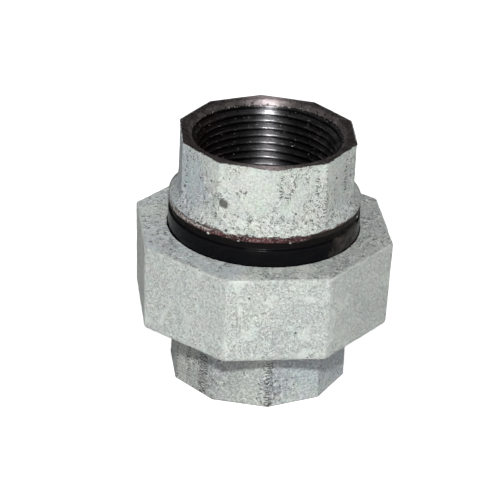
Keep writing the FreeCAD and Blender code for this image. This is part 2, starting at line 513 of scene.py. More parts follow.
def new_group(name, inputs, outputs):
    """Starts a shader node group: its short forms, the sockets it is given and those of its results."""
    group = bpy.data.node_groups.new(name, "ShaderNodeTree")
    for label, default in inputs.items():
        kind = "NodeSocketVector" if isinstance(default, tuple) else "NodeSocketFloat"
        group.interface.new_socket(label, in_out="INPUT", socket_type=kind).default_value = default
    for label in outputs:
        group.interface.new_socket(label, in_out="OUTPUT", socket_type="NodeSocketFloat")
    n = Nodes(group)
    return n, n.add("NodeGroupInput").outputs, n.add("NodeGroupOutput").inputs


def pits_group():
    """Small dark pits: cells of a Voronoi pattern, most of them empty, the rest a dot of their own size."""
    n, given, result = new_group(
        "pits", {"Vector": (0, 0, 0), "Scale": 900.0, "Share": 0.2, "Size": 0.25}, ["Mask"])
    wobble = n.add("ShaderNodeTexNoise", {"Vector": given["Vector"], "Scale": 1400.0, "Detail": 1.0})
    shift = {0: wobble.outputs["Color"], 1: (0.0007, 0.0007, 0.0004), 2: given["Vector"]}
    shifted = n.add("ShaderNodeVectorMath", shift, operation="MULTIPLY_ADD").outputs[0]
    cells = n.add("ShaderNodeTexVoronoi", {"Vector": shifted, "Scale": given["Scale"]}).outputs
    pick = n.add("ShaderNodeSeparateColor", {"Color": cells["Color"]}).outputs
    chosen = n.math("LESS_THAN", pick[0], given["Share"])
    reach = n.times(given["Size"], n.times_plus(pick[1], 0.8, 0.4))
    inside = n.spread(n.math("DIVIDE", cells["Distance"], reach), 1.0, 0.45)
    n.feed(result["Mask"], n.times(inside, chosen))


def grain_group():
    """The zinc skin's fine grain: flecks centred on zero, and short crooked lines like dried ripples.

    The lines are the places where a noise passes its middle value, kept only where a second noise is high. A
    ridge runs beside each line.
    """
    n, given, result = new_group(
        "grain", {"Vector": (0, 0, 0), "Scale": 900.0, "Width": 0.035, "Cover": 0.5},
        ["Fleck", "Line", "Ridge", "Height"])
    place, scale = given["Vector"], given["Scale"]
    fine = n.noise(place, n.times(scale, 1.8), 2.0, 0.6, 0.5)
    ripple = n.noise(place, scale, 1.0, 0.5, 1.1)
    away, beside = (n.math("DIVIDE", n.math("ABSOLUTE", n.minus(ripple, middle)), given["Width"])
                    for middle in (0.5, 0.59))
    breaks = n.spread(n.noise(place, n.times(scale, 0.9), 1.0, 0.5, 0.3), 0.46, 0.54)
    limit = n.minus(0.78, n.times(given["Cover"], 0.5))
    there = n.spread(n.minus(n.noise(place, 150.0, 3.0, 0.6, 0.4), limit), -0.05, 0.05)
    line = n.times(n.spread(away, 1.0, 0.45), n.times(breaks, there))
    ridge = n.times(n.spread(beside, 1.8, 0.7), there)
    height = n.minus(n.times_plus(fine, 0.5, 0.5), n.times(line, 0.5))
    n.feed(result["Fleck"], n.spread(fine, 0.40, 0.60, -1.0, 1.0))
    n.feed(result["Line"], line)
    n.feed(result["Ridge"], ridge)
    n.feed(result["Height"], n.times_plus(ridge, 0.3, height))


def nicks_group():
    """Short level nicks, one above the other, where the attribute that marks their column is set."""
    n, given, result = new_group("nicks", {"Vector": (0, 0, 0), "Column": 0.0, "Rows": 1150.0}, ["Mask"])
    height = n.add("ShaderNodeSeparateXYZ", {"Vector": given["Vector"]}).outputs["Z"]
    sway = n.noise(given["Vector"], 260.0, 2.0)
    tooth = n.math("FRACT", n.plus(n.times(height, given["Rows"]), n.times(sway, 4.5)))
    stripe = n.times(n.spread(tooth, 0.18, 0.32), n.spread(tooth, 0.74, 0.6))
    broken = n.noise(given["Vector"], 850.0, 2.0)
    present = n.spread(n.plus(broken, n.times(given["Column"], 0.42)), 0.83, 0.93)
    n.feed(result["Mask"], n.times(stripe, present))


def make_groups():
    """Builds the shared node groups once."""
    if "pits" not in bpy.data.node_groups:
        pits_group()
        grain_group()
        nicks_group()


# ---------------------------------------------------------------------------
# Finishes
# ---------------------------------------------------------------------------

# ---- colours of the small things in a finish, linear with full opacity ----
ZINC_SPARK = (0.93, 0.96, 0.92, 1.0)
ZINC_SPECK = (0.14, 0.15, 0.14, 1.0)
ZINC_RIDGE = (0.96, 0.98, 0.95, 1.0)
# painted highlight along the zinc's edges
ZINC_EDGE_HIGHLIGHT = (0.90, 0.93, 0.88, 1.0)
# painted shade for one side of the zinc
ZINC_SHADE = (0.20, 0.205, 0.19, 1.0)
IRON_DIRT = (0.02, 0.017, 0.016, 1.0)
# darker speckled colours of a faced end outside its dish
IRON_OUTER_DARK = (0.085, 0.062, 0.062, 1.0)
IRON_OUTER_GREY = (0.26, 0.225, 0.225, 1.0)
# dark dirt in a seam, and painted shade in thread roots
IRON_GRIME_AND_SHADE = (0.012, 0.010, 0.010, 1.0)
IRON_GLINT = (0.80, 0.78, 0.75, 1.0)
# brownish painted shade towards -X on the threads
IRON_BROWN_SHADE = (0.075, 0.03, 0.024, 1.0)
# painted highlight on thread crests
IRON_CREST_HIGHLIGHT = (0.60, 0.59, 0.58, 1.0)
IRON_CRUMB = (0.55, 0.52, 0.50, 1.0)
OIL_SMEAR = (0.012, 0.009, 0.008, 1.0)
# painted reflection on the oiled neck towards +X
OIL_REFLECTION = (0.055, 0.048, 0.042, 1.0)
OIL_CRUMB = (0.35, 0.33, 0.3, 1.0)
RUST_OILED = (0.014, 0.008, 0.008, 1.0)
RUST_CRUMB = (0.33, 0.25, 0.26, 1.0)
RUST_MOTTLE_DARK = (0.09, 0.065, 0.055, 1.0)
RUST_MOTTLE_LIGHT = (0.50, 0.47, 0.45, 1.0)
RUST_SIDE = (0.022, 0.018, 0.016, 1.0)
RUST_BELOW = (0.005, 0.004, 0.004, 1.0)

EVERYWHERE = (-1.0, -0.9)    # a span that every piece lies beyond


class ZincLook(NamedTuple):
    """How one zinc skin looks. Strengths run from 0 to 1. A span is where an effect starts and is full."""

    tone: float                        # brightness of the zinc's own colours
    fleck: float                       # strength of the fine grain
    cover: float                       # how much of the skin is rippled
    lines: float                       # how dark the ripples' lines are
    ridges: float                      # how light the ridges beside them are
    ripple: float                      # ripples per metre
    width: float                       # how wide the lines are
    pits: float                        # share of the skin's cells with a pit
    pit_size: float
    clouds: float                      # how cloudy the zinc is
    blue: float                        # strength of the bluish patches
    shade: tuple                       # how much one side is darkened as painted shade, and its span along X
    bump: float                        # strength of the relief
    blue_from: tuple = EVERYWHERE      # the bluish patches' span along Y


BODY_ZINC = ZincLook(
    tone=0.95, fleck=0.28, cover=0.5, lines=0.7, ridges=0.4, ripple=850.0, width=0.055, pits=0.08,
    pit_size=0.30, clouds=0.3, blue=0.8, shade=(0.52, 0.016, -0.016), bump=0.8)
TAIL_ZINC = ZincLook(
    tone=0.93, fleck=0.22, cover=0.50, lines=0.75, ridges=0.42, ripple=980.0, width=0.055, pits=0.11,
    pit_size=0.30, clouds=0.28, blue=0.8, shade=(0.05, 0.0, 0.02), bump=0.8, blue_from=(-0.021, -0.012))
NUT_ZINC = ZincLook(
    tone=1.12, fleck=0.24, cover=0.75, lines=0.14, ridges=0.46, ripple=1450.0, width=0.06, pits=0.05,
    pit_size=0.28, clouds=0.28, blue=0.26, shade=(0.14, 0.012, 0.03), bump=1.0)
CROWN_ZINC = ZincLook(
    tone=1.2, fleck=0.30, cover=0.52, lines=0.62, ridges=0.5, ripple=900.0, width=0.06, pits=0.09,
    pit_size=0.32, clouds=0.5, blue=0.6, shade=(0.5, -0.005, 0.028), bump=1.0)


def shade(tint, factor=1.0):
    """A colour made lighter or darker, with full opacity."""
    return (*(c * factor for c in tint), 1.0)


def new_material(name):
    """An empty node material and its short forms."""
    material = bpy.data.materials.new(name)
    material.use_nodes = True
    material.node_tree.nodes.clear()
    return material, Nodes(material.node_tree)


def new_finish(name):
    """A material with one Principled shader: material, short forms, shader, place on the piece, X Y Z."""
    material, n = new_material(name)
    shader = n.add("ShaderNodeBsdfPrincipled")
    n.add("ShaderNodeOutputMaterial", {"Surface": shader.outputs["BSDF"]})
    place = n.add("ShaderNodeTexCoord").outputs["Object"]
    axes = n.add("ShaderNodeSeparateXYZ", {"Vector": place}).outputs
    return material, n, shader, place, axes


def dress(n, shader, base, roughness, bump, distance, height):
    """Feeds the shader its colour, its roughness and the relief of its surface."""
    relief = n.add("ShaderNodeBump", {"Strength": bump, "Distance": distance, "Height": height})
    n.feed(shader.inputs["Base Color"], base)
    n.feed(shader.inputs["Roughness"], roughness)
    n.feed(shader.inputs["Normal"], relief.outputs["Normal"])


def zinc_ground(n, place, axes, colours, look):
    """The clouds, and the zinc's colour: dull clouds and bluish patches in bright zinc, painted shade on one
    side and a painted highlight at the edges.
    """
    cloud = n.spread(n.noise(place, 95.0, 4.0, 0.6, 0.6), 0.36, 0.66)
    patch = n.spread(n.noise(place, 60.0, 3.0, 0.5, 0.3), 0.32, 0.6)
    light, dull_and_reflected, blue = (shade(tint, look.tone)
                         for tint in (colours.zinc_light, colours.zinc_dark, colours.zinc_blue))
    base = n.blend(n.times(cloud, look.clouds), light, dull_and_reflected)
    blueness = n.times(patch, n.spread(axes["Y"], *look.blue_from))
    base = n.blend(n.times(blueness, look.blue), base, blue)
    tints = n.add("ShaderNodeTexNoise", {"Vector": place, "Scale": 260.0, "Detail": 2.0}).outputs["Color"]
    base = n.blend(0.22, base, tints, "SOFT_LIGHT")
    strength, start, full = look.shade
    # painted shade: one side of the piece darkened towards ZINC_SHADE
    base = n.blend(n.times(n.spread(axes["X"], start, full), strength), base, ZINC_SHADE)
    # painted highlight: lighter zinc along the marked edges
    return cloud, n.blend(n.times(n.attribute("edge"), 0.55), base, ZINC_EDGE_HIGHLIGHT)


def zinc_material(name, colours, look, soil):
    """Hot-dip galvanised casting: cloudy zinc with crooked ripples, crumbly grain and dirt in its pits.

    soil is the colour that shows where the zinc ran thin.
    """
    material, n, shader, place, axes = new_finish(name)
    cloud, base = zinc_ground(n, place, axes, colours, look)
    cover = n.times_plus(n.attribute("rippled"), 0.7, look.cover)
    grain = n.group("grain", Vector=place, Scale=look.ripple, Width=look.width, Cover=cover)
    lighter = n.math("MAXIMUM", grain["Fleck"], 0.0)
    darker = n.math("MAXIMUM", n.times(grain["Fleck"], -1.0), 0.0)
    for mask, strength, tint in ((lighter, look.fleck, ZINC_SPARK), (darker, look.fleck, ZINC_SPECK),
                                 (grain["Ridge"], look.ridges, ZINC_RIDGE),
                                 (grain["Line"], look.lines, shade(colours.pit))):
        base = n.blend(n.times(mask, strength), base, tint)
    small = n.pits(place, 1250.0, look.pits, look.pit_size)
    large = n.pits(place, 520.0, look.pits * 0.5, look.pit_size * 0.75)
    nicks = n.group("nicks", Vector=place, Column=n.attribute("nicks"))["Mask"]
    pits = n.math("MAXIMUM", n.math("MAXIMUM", small, large), n.times(nicks, 0.9))
    base = n.blend(n.times(pits, 0.85), base, shade(colours.pit))
    crumb = n.noise(place, 700.0, 3.0, 0.65, 0.5)
    bottom = n.blend(n.spread(crumb, 0.38, 0.62), shade(colours.bruise, 0.65), shade(colours.bruise))
    base = n.blend(n.attribute("bruise"), base, bottom)
    thin = n.spread(n.plus(n.attribute("soiled"), crumb), 0.98, 1.08)
    burnt = n.blend(n.spread(n.noise(place, 420.0, 2.0), 0.42, 0.6), shade(soil), shade(soil, 0.2))
    base = n.blend(n.times(thin, 0.9), base, burnt)
    shader.inputs["Specular IOR Level"].default_value = 0.4
    height = n.minus(n.minus(grain["Height"], n.times(pits, 0.55)), n.times(thin, 0.4))
    dress(n, shader, base, n.spread(cloud, 0.0, 1.0, 0.5, 0.66), look.bump, 0.45 * MM, height)
    return material


def darken_outer_face(n, place, radius, border, tone):
    """A faced end made darker and speckled outside the radius `border`."""
    outside = n.spread(n.minus(radius, border), -0.3 * MM, 0.2 * MM)
    grey = n.spread(n.noise(place, 900.0, 3.0, 0.65), 0.5, 0.62)
    return n.blend(n.times(outside, 0.6), tone, n.blend(grey, IRON_OUTER_DARK, IRON_OUTER_GREY))


def draw_seam(n, place, radius, seam, tone):
    """A ragged dark line at the radius `seam`, with a few glints beside it."""
    off = n.math("ABSOLUTE", n.minus(radius, seam))
    ragged = n.times(n.noise(place, 900.0, 2.0), 0.7 * MM)
    tone = n.blend(n.spread(n.minus(off, ragged), -0.12 * MM, -0.3 * MM), tone, IRON_GRIME_AND_SHADE)
    glints = n.spread(n.noise(place, 1300.0, 1.0), 0.60, 0.66)
    return n.blend(n.times(glints, n.spread(off, 0.6 * MM, 0.3 * MM)), tone, IRON_GLINT)


def paint_thread_shade_and_highlight(n, place, axes, smear, wear, tone):
    """A brown film that darkens towards -X as painted shade, black painted shade in the thread roots and
    painted highlights on the crests.
    """
    thread_rise = n.attribute("thread_rise")
    brown_shade_side = n.times_plus(smear, 0.02, axes["X"])
    # brown film that deepens towards -X as painted shade
    tone = n.blend(n.spread(brown_shade_side, 0.006, -0.008, 0.0, 0.7), tone, IRON_BROWN_SHADE)
    # painted shade: black in the thread roots
    tone = n.blend(n.times(n.spread(thread_rise, 0.36, 0.06), wear), tone, IRON_GRIME_AND_SHADE)
    # painted highlight on the thread crests, in patches
    highlight_patches = n.times(n.spread(thread_rise, 0.82, 0.97), n.spread(n.noise(place, 500.0, 3.0), 0.40, 0.60))
    return n.blend(n.times(highlight_patches, wear * 0.45), tone, IRON_CREST_HIGHLIGHT)


def turned_material(name, tint, metallic, roughness, rings, depth, crumbs, wear=0.0, seam=0.0, border=0.0):
    """Bare iron left by a cutting tool: dark, oily, with fine rings round the axis that stretch its gleam.

    rings is the number of tool marks per metre, depth their strength, crumbs the share of dirt specks, wear
    the strength of the painted highlight on the threads' crests and of the painted shade in their roots,
    seam a radius where dirt gathers and border the radius outside which the face is dark. A wear, seam or
    border of 0 leaves that effect out.
    """
    material, n, shader, place, axes = new_finish(name)
    radius = n.math("SQRT", n.plus(n.times(axes["X"], axes["X"]), n.times(axes["Y"], axes["Y"])))
    spiral = n.add("ShaderNodeCombineXYZ", {"X": n.times(radius, rings), "Y": n.times(axes["Z"], rings)})
    grooves = n.noise(spiral.outputs[0], 1.0, 2.0, 0.6)
    smear = n.noise(place, 170.0, 4.0, 0.65, 0.8)
    tone = n.blend(n.spread(smear, 0.35, 0.68), shade(tint), shade(tint, 0.36))
    tone = n.blend(n.times(n.pits(place, 1000.0, crumbs, 0.42), 0.8), tone, IRON_DIRT)
    if border:
        tone = darken_outer_face(n, place, radius, border, tone)
    if seam:
        tone = draw_seam(n, place, radius, seam, tone)
    # painted shade in the thread roots and painted highlights on their crests
    if wear:
        tone = paint_thread_shade_and_highlight(n, place, axes, smear, wear, tone)
    specks = n.pits(place, 1500.0, crumbs * 0.5, 0.36)
    tone = n.blend(n.times(specks, 0.7), tone, IRON_CRUMB)
    n.feed(shader.inputs["Metallic"], n.minus(metallic, n.times(specks, 0.5)))
    shader.inputs["Anisotropic"].default_value = 0.85
    shader.inputs["Anisotropic Rotation"].default_value = 0.25
    patchy = n.spread(smear, 0.3, 0.7, roughness - 0.06, roughness + 0.1)
    dress(n, shader, tone, patchy, depth, 0.08 * MM, n.plus(grooves, n.times(smear, 0.3)))
    return material


def oiled_material(colours):
    """The neck: turned iron under black oil, glossy with a faint brown smear, and a painted grey-brown
    reflection towards +X.
    """
    material, n, shader, place, axes = new_finish("oiled_neck")
    smear = n.spread(n.noise(place, 120.0, 3.0, 0.6, 1.2), 0.5, 0.75)
    base = n.blend(n.times(smear, 0.5), shade(colours.oil), OIL_SMEAR)
    # painted reflection: grey-brown patches on the neck towards +X
    side = n.spread(n.times_plus(n.noise(place, 140.0, 3.0), 0.012, axes["X"]), 0.022, 0.025)
    dull_and_reflected = n.times(side, n.spread(n.noise(place, 260.0, 3.0), 0.35, 0.6))
    base = n.blend(dull_and_reflected, base, OIL_REFLECTION)
    base = n.blend(n.times(n.pits(place, 700.0, 0.04, 0.18), 0.6), base, OIL_CRUMB)
    shader.inputs["Specular IOR Level"].default_value = 0.095
    dress(n, shader, base, n.spread(smear, 0.0, 1.0, 0.20, 0.36), 0.12, 0.2 * MM, n.noise(place, 420.0, 3.0))
    return material


def rust_material(colours):
    """The bare rim and undercut: red-brown rust with crumbs of zinc, blackened by oil to +X and below.

    The attribute "above" is the height over the neck in millimetres, and "bead" marks the beads of zinc.
    """
    material, n, shader, place, axes = new_finish("rusty_rim")
    above = n.attribute("above")
    clots = n.noise(place, 380.0, 4.0, 0.7, 0.6)
    spots = n.noise(place, 1500.0, 2.0, 0.6)
    base = n.blend(n.spread(clots, 0.40, 0.66), shade(colours.rust), shade(colours.rust, 0.3))
    oily = n.spread(n.noise(place, 210.0, 3.0, 0.6, 0.8), 0.46, 0.53)
    base = n.blend(n.times(oily, n.spread(above, 3.0, 1.8, 0.55, 0.95)), base, RUST_OILED)
    crumbs = n.times(n.spread(spots, 0.50, 0.66), n.spread(above, 1.8, 3.4, 0.15, 0.75))
    base = n.blend(crumbs, base, RUST_CRUMB)
    left = n.spread(axes["X"], -0.008, -0.026, 0.0, 1.3)
    skin = n.spread(n.plus(n.times_plus(clots, 2.4, above), left), 5.1, 5.5)
    base = n.blend(skin, base, n.blend(n.spread(spots, 0.40, 0.56), RUST_MOTTLE_DARK, RUST_MOTTLE_LIGHT))
    side = n.spread(n.times_plus(clots, 0.012, axes["X"]), 0.011, 0.017)
    base = n.blend(side, base, RUST_SIDE)
    below = n.spread(n.plus(above, n.times(n.noise(place, 230.0, 3.0), 2.2)), 3.75, 3.4)
    base = n.blend(below, base, RUST_BELOW)
    base = n.blend(n.spread(n.attribute("bead"), 0.2, 0.7), base, shade(colours.zinc_light))
    shader.inputs["Specular IOR Level"].default_value = 0.10
    dress(n, shader, base, n.spread(clots, 0.3, 0.7, 0.35, 0.7), 0.9, 0.3 * MM, clots)
    return material


def rubber_material(colours):
    """Sheet rubber: matt black with a fine bloom."""
    material, n, shader, place, _ = new_finish("washer_rubber")
    bloom = n.noise(place, 300.0, 4.0, 0.65)
    base = n.blend(n.spread(bloom, 0.45, 0.75), shade(colours.rubber), shade(colours.rubber, 2.6))
    weave = n.noise(place, 2600.0, 2.0)
    dress(n, shader, base, n.spread(bloom, 0.2, 0.8, 0.62, 0.82), 0.3, 0.05 * MM, weave)
    return material


def finish(name, make, *details, **named):
    """The material of that name, made the first time it is asked for."""
    return bpy.data.materials.get(name) or make(name, *details, **named)


def turned_finishes(sizes, colours):
    """The two bare finishes that the iron pieces share: faced ends, and tapped walls and threads."""
    step = SOCKET_CREST + sizes.cone_width
    bare = finish("turned_iron", turned_material, colours.turned, metallic=0.93, roughness=0.60,
                  rings=6000.0, depth=0.45, crumbs=0.6, seam=step, border=step + sizes.dish_width)
    # the tapped iron gets painted shade in thread roots and painted highlights on crests
    wall = finish("tapped_iron", turned_material, colours.tapped, metallic=1.0, roughness=0.36,
                  rings=5000.0, depth=0.5, crumbs=0.3, wear=0.85)
    return bare, wall


# ---------------------------------------------------------------------------
# Operators: one for each piece, and one for the stage
# ---------------------------------------------------------------------------

class UNION_OT_body(bpy.types.Operator):
    """Builds the lower casting: ten-sided end, flare, male thread and seat"""

    bl_idname = "union.threaded_body"
    bl_label = "Threaded body"

    def execute(self, context):
        sizes, colours = context.scene.union_sizes, context.scene.union_colours
        make_groups()
        theta = angles(10, 36, 0.6)
        foot, seat = BODY_LOW[2], BODY_HIGH[2]
        flats = sizes.body_flats
        root = sizes.union_thread - sizes.thread_gap / 2 - sizes.thread_depth / 2
        crest = root + sizes.thread_depth
        flare_rim = root - 0.2 * MM
        thread_foot = foot + sizes.body_flats_height + sizes.body_flare
        bevel = 1.3 * MM
        grid, height, tag, sided = lay_out([
            (flats, foot, sizes.face_edge, SKIN, 1, "cast"),
            (flats, thread_foot - 0.4 * MM, 0, SKIN, 0, "cast"),
            (flare_rim, thread_foot, 0, 0.4 * MM, 0, "thread"),
            (crest, thread_foot + bevel, 0, FINE, 0, "thread"),
            (crest, seat - bevel, 0, FINE, 0, "thread"),
            (root - 0.1 * MM, seat, 0.1 * MM, 1.2 * MM, 0, "seat"),
            (sizes.waterway, seat, 0.3 * MM, 2.5 * MM, 0, "bore"),
            *walked_back(socket_rows(foot, -1, sizes), 0.35 * MM, "face"),
        ], theta, 10, sizes.end_corner / flats)
        cast, thread = (tag == "cast")[:, None], (tag == "thread")[:, None]
        flare = flare_radius(height, thread_foot, flare_rim, flats - 0.6 * MM, -sizes.body_flare)
        grid = np.where(cast, soft_max(flats * sided, flare, 0.5 * MM), grid)
        wave = thread_wave(theta, height, sizes.thread_pitch)
        grid = np.where(thread, np.minimum(grid, root + sizes.thread_depth * wave), grid)
        grid = cut_socket_thread(grid, tag, theta, height, foot, -1, sizes)
        points = to_points(theta, grid, height)
        points = cast_skin(points, cast * np.clip((height - foot) / (0.8 * MM), 0, 1), 11)
        turn = np.broadcast_to(theta, grid.shape)
        marks = {
            "nicks": nick_columns(turn, points[..., 2], BODY_NICKS),
            "rippled": np.clip(1 - np.abs(np.degrees((turn + math.pi) % TURN - math.pi)) / 5, 0, 1),
            "thread_rise": np.where(thread, wave, 1 - wave),
        }
        zinc = zinc_material("zinc_body", colours, BODY_ZINC, colours.pit)
        bare, wall = turned_finishes(sizes, colours)
        finishes = {"cast": zinc, "thread": wall, "seat": bare, "face": bare, "bore": wall}
        add_piece("threaded_body_skin", points, tag, finishes, marks, "threaded_body", "body")
        return {"FINISHED"}


class UNION_OT_washer(bpy.types.Operator):
    """Builds the flat sealing washer between the two seats"""

    bl_idname = "union.sealing_washer"
    bl_label = "Sealing washer"

    def execute(self, context):
        sizes, colours = context.scene.union_sizes, context.scene.union_colours
        theta = angles(8, 24, 0.0)
        hole, outer, bottom, top = sizes.washer_hole, WASHER_HIGH[0], WASHER_LOW[2], WASHER_HIGH[2]
        edge = 0.25 * MM
        grid, height, tag, _ = lay_out([
            (outer, bottom, edge, 0.5 * MM, 0, "rubber"),
            (outer, top, edge, 1.0 * MM, 0, "rubber"),
            (hole, top, edge, 0.5 * MM, 0, "rubber"),
            (hole, bottom, edge, 1.0 * MM, 0, "rubber"),
        ], theta, 8, 0.0)
        points = to_points(theta, grid, height)
        add_piece("sealing_washer_ring", points, tag, {"rubber": rubber_material(colours)}, {},
                  "sealing_washer", "washer")
        return {"FINISHED"}


class UNION_OT_tail(bpy.types.Operator):
    """Builds the upper casting: ten-sided end, flare, bare rim, undercut, neck and collar"""

    bl_idname = "union.tail_piece"
    bl_label = "Tail piece"

    def execute(self, context):
        sizes, colours = context.scene.union_sizes, context.scene.union_colours
        make_groups()
        theta = angles(10, 38, 0.6)
        turned = theta + sizes.tail_turn
        seat, face, collar = TAIL_LOW[2], TAIL_HIGH[2], TAIL_HIGH[0]
        flats, neck = sizes.tail_flats, sizes.neck
        collar_top = seat + sizes.collar_thickness
        neck_top = seat + sizes.neck_length
        groove_top = neck_top + sizes.groove_width
        groove = neck - sizes.groove_depth
        rim_top = groove_top + sizes.rim_width
        grid, height, tag, sided = lay_out([
            (sizes.waterway, seat, 0.3 * MM, 1.5 * MM, 0, "seat"),
            (collar, seat, 0.4 * MM, 1.0 * MM, 0, "seat"),
            (collar, collar_top, 0.3 * MM, 1.0 * MM, 0, "seat"),
            (neck, collar_top, 0.2 * MM, 0.8 * MM, 0, "neck"),
            (neck, neck_top, 0.26 * MM, 0.2 * MM, 0, "neck"),
            (groove, neck_top + 0.35 * MM, 0.12 * MM, 0.2 * MM, 0, "rim"),
            (groove, groove_top - 0.1 * MM, 0.2 * MM, 0.2 * MM, 0, "rim"),
            (neck, groove_top, 0.25 * MM, 0.3 * MM, 0, "rim"),
            (neck, rim_top, 0, SKIN, 0, "cast"),
            (flats, face, sizes.face_edge, 0.4 * MM, 1, "face"),
            *socket_rows(face, 1, sizes),
        ], theta, 10, sizes.end_corner / flats)
        cast, rim = (tag == "cast")[:, None], (tag == "rim")[:, None]
        flare = flare_radius(height, rim_top + 0.9 * MM, neck, flats - 1.2 * MM, sizes.tail_flare)
        swept = soft_max(flats * sided, flare, 0.9 * MM)
        join = np.clip((height - rim_top) / (1.2 * MM), 0, 1)
        grid = np.where(cast, swept * join + neck * (1 - join), grid)
        grid = cut_socket_thread(grid, tag, turned, height, face, 1, sizes)
        points = to_points(turned, grid, height)
        top_fade = np.clip((face - height) / (0.8 * MM), 0, 1)
        foot_fade = np.clip(0.4 + (height - rim_top) / (9 * MM), 0, 1)
        points = cast_skin(points, cast * top_fade * foot_fade, 23)
        points = cast_skin(points, rim * 0.7, 37)
        chip = chip_mark(points, math.radians(-35.0), 25.6 * MM, 62.4 * MM)
        points = points - surface_normals(points) * (chip * 0.3 * MM)[..., None]
        bead = bead_marks(points, neck)
        points = points + surface_normals(points) * (np.sqrt(bead) * 0.4 * MM)[..., None]
        turn = (np.broadcast_to(turned, grid.shape) + math.pi) % TURN - math.pi
        level = points[..., 2]
        left = 0.5 - 0.5 * np.sin(turn)
        patchy = np.clip(lattice_noise(points, 2.4 * MM, 17) * 2 - 0.5, 0, 1)
        runs = 0.3 + (1.5 + 2.4 * left) * patchy
        thin_at_rim = np.clip(1 - (level - rim_top) / (runs * MM), 0, 1)
        thin_at_face = np.clip((level - face + 0.5 * MM) / (0.5 * MM), 0, 1)
        marks = {
            "nicks": nick_columns(turn, level, TAIL_NICKS),
            "bruise": chip,
            "rippled": np.clip((rim_top + 7.5 * MM - level) / (5 * MM), 0, 1) * (0.12 + 0.7 * left),
            "soiled": 0.66 * thin_at_rim + 0.5 * thin_at_face,
            "bead": bead,
            "thread_rise": 1 - thread_wave(turned, height, sizes.thread_pitch),
            "above": (level - neck_top) / MM,
        }
        zinc = zinc_material("zinc_tail", colours, TAIL_ZINC, colours.rust)
        bare, wall = turned_finishes(sizes, colours)
        finishes = {"cast": zinc, "rim": rust_material(colours), "neck": oiled_material(colours),
                    "seat": bare, "face": bare, "bore": wall}
        add_piece("tail_piece_skin", points, tag, finishes, marks, "tail_piece", "tail")
        return {"FINISHED"}


class UNION_OT_nut(bpy.types.Operator):
    """Builds the eight-sided union nut with its lip and female thread"""

    bl_idname = "union.union_nut"
    bl_label = "Union nut"

    def execute(self, context):
        sizes, colours = context.scene.union_sizes, context.scene.union_colours
        make_groups()
        theta = angles(8, 50, 0.45)
        turned = theta + math.pi / 8
        foot, top, upper = NUT_LOW[2], NUT_HIGH[2], NUT_HIGH[0]
        lower = upper - sizes.nut_draft / 2
        relief = sizes.union_thread + sizes.thread_gap / 2
        crest = relief - sizes.thread_depth / 2
        lip = sizes.neck + sizes.lip_gap
        lip_foot = top - sizes.nut_lip
        relief_foot = TAIL_LOW[2] - 1.0 * MM
        grid, height, tag, sided = lay_out([
            (lower, foot, 1.5 * MM, SKIN, 1, "cast"),
            (upper, top, 0.75 * MM, SKIN, 1, "top"),
            (lip, top, 0.2 * MM, 0.5 * MM, 0, "bore"),
            (lip, lip_foot, 0.3 * MM, 0.8 * MM, 0, "bore"),
            (relief, lip_foot, 0.2 * MM, 0.9 * MM, 0, "bore"),
            (relief, relief_foot, 0, 0.3 * MM, 0, "thread"),
            (crest, relief_foot - 0.6 * MM, 0, FINE, 0, "thread"),
            (crest, foot + 1.6 * MM, 0, FINE, 0, "thread"),
            (crest + 1.7 * MM, foot, 0.3 * MM, 0.5 * MM, 0, "cast"),
        ], theta, 8, sizes.nut_corner / upper)
        wave = thread_wave(turned, height, sizes.thread_pitch)
        female = crest + sizes.thread_depth * wave
        grid = np.where((tag == "thread")[:, None], np.maximum(grid, female), grid)
        points = cast_skin(to_points(turned, grid, height), np.isin(tag, ["cast", "top"])[:, None], 41)
        level = points[..., 2]
        on_crown = level > top - 1 * MM
        reach = np.hypot(points[..., 0], points[..., 1])
        from_edge = np.hypot(reach - upper * sided, level - top)
        # patches where the painted edge highlight shows
        highlight_patches = lattice_noise(points, 2.0 * MM, 3) > 0.3
        at_lip = np.clip(1 - (reach - lip) / (1.1 * MM), 0, 1) * on_crown
        at_foot = np.clip(1 - (level - foot) / (2.2 * MM), 0, 1) * (points[..., 0] > 24 * MM)
        marks = {
            # painted highlight along the nut's top outer edge
            "edge": np.clip(1.2 - from_edge / (0.55 * MM), 0, 1) * highlight_patches,
            "soiled": 0.5 * at_lip + 0.42 * at_foot,
            "rippled": np.clip((lattice_noise(points, 7.0 * MM, 9) - 0.45) * 4, 0, 1) * on_crown,
            "thread_rise": 1 - wave,
        }
        zinc = zinc_material("zinc_nut", colours, NUT_ZINC, colours.pit)
        crown = zinc_material("zinc_nut_crown", colours, CROWN_ZINC, colours.pit)
        _, wall = turned_finishes(sizes, colours)
        finishes = {"cast": zinc, "top": crown, "bore": wall, "thread": wall}
        add_piece("union_nut_skin", points, tag, finishes, marks, "union_nut", "nut")
        return {"FINISHED"}


TARGET = Vector((0, 0, 0.037))
CAMERA_AZIMUTH = -7.9          # degrees from -Y towards +X
CAMERA_ELEVATION = 27.28
CAMERA_ROLL = 2.72
CAMERA_DISTANCE = 0.6923
CAMERA_LENS = 172.66           # millimetres, on a sensor 36 wide
CAMERA_AIM_SIDE = -0.00349     # how far to its right of the target the camera looks

WORLD_STRENGTH = 0.065
FLOOR_GLOW = 0.88              # the floor's own light, seen by the camera alone
FLOOR_DROP = 0.05 * MM
LIGHTS = (
    # name, degrees round from the camera, elevation, distance, size, power, tint
    ("key", 0, 38, 0.80, 0.05, 5.3, (1.0, 1.0, 1.0)),
    ("front_fill", 0, 4, 0.9, 0.6, 0.9, (1.0, 1.0, 1.0)),
    ("left_fill", -130, 20, 0.9, 0.6, 0.6, (0.97, 0.98, 1.0)),
    ("right_fill", 130, 20, 0.9, 0.6, 0.35, (1.0, 0.99, 0.98)),
    ("back_fill", 180, 35, 1.0, 0.8, 1.6, (1.0, 1.0, 1.0)),
)


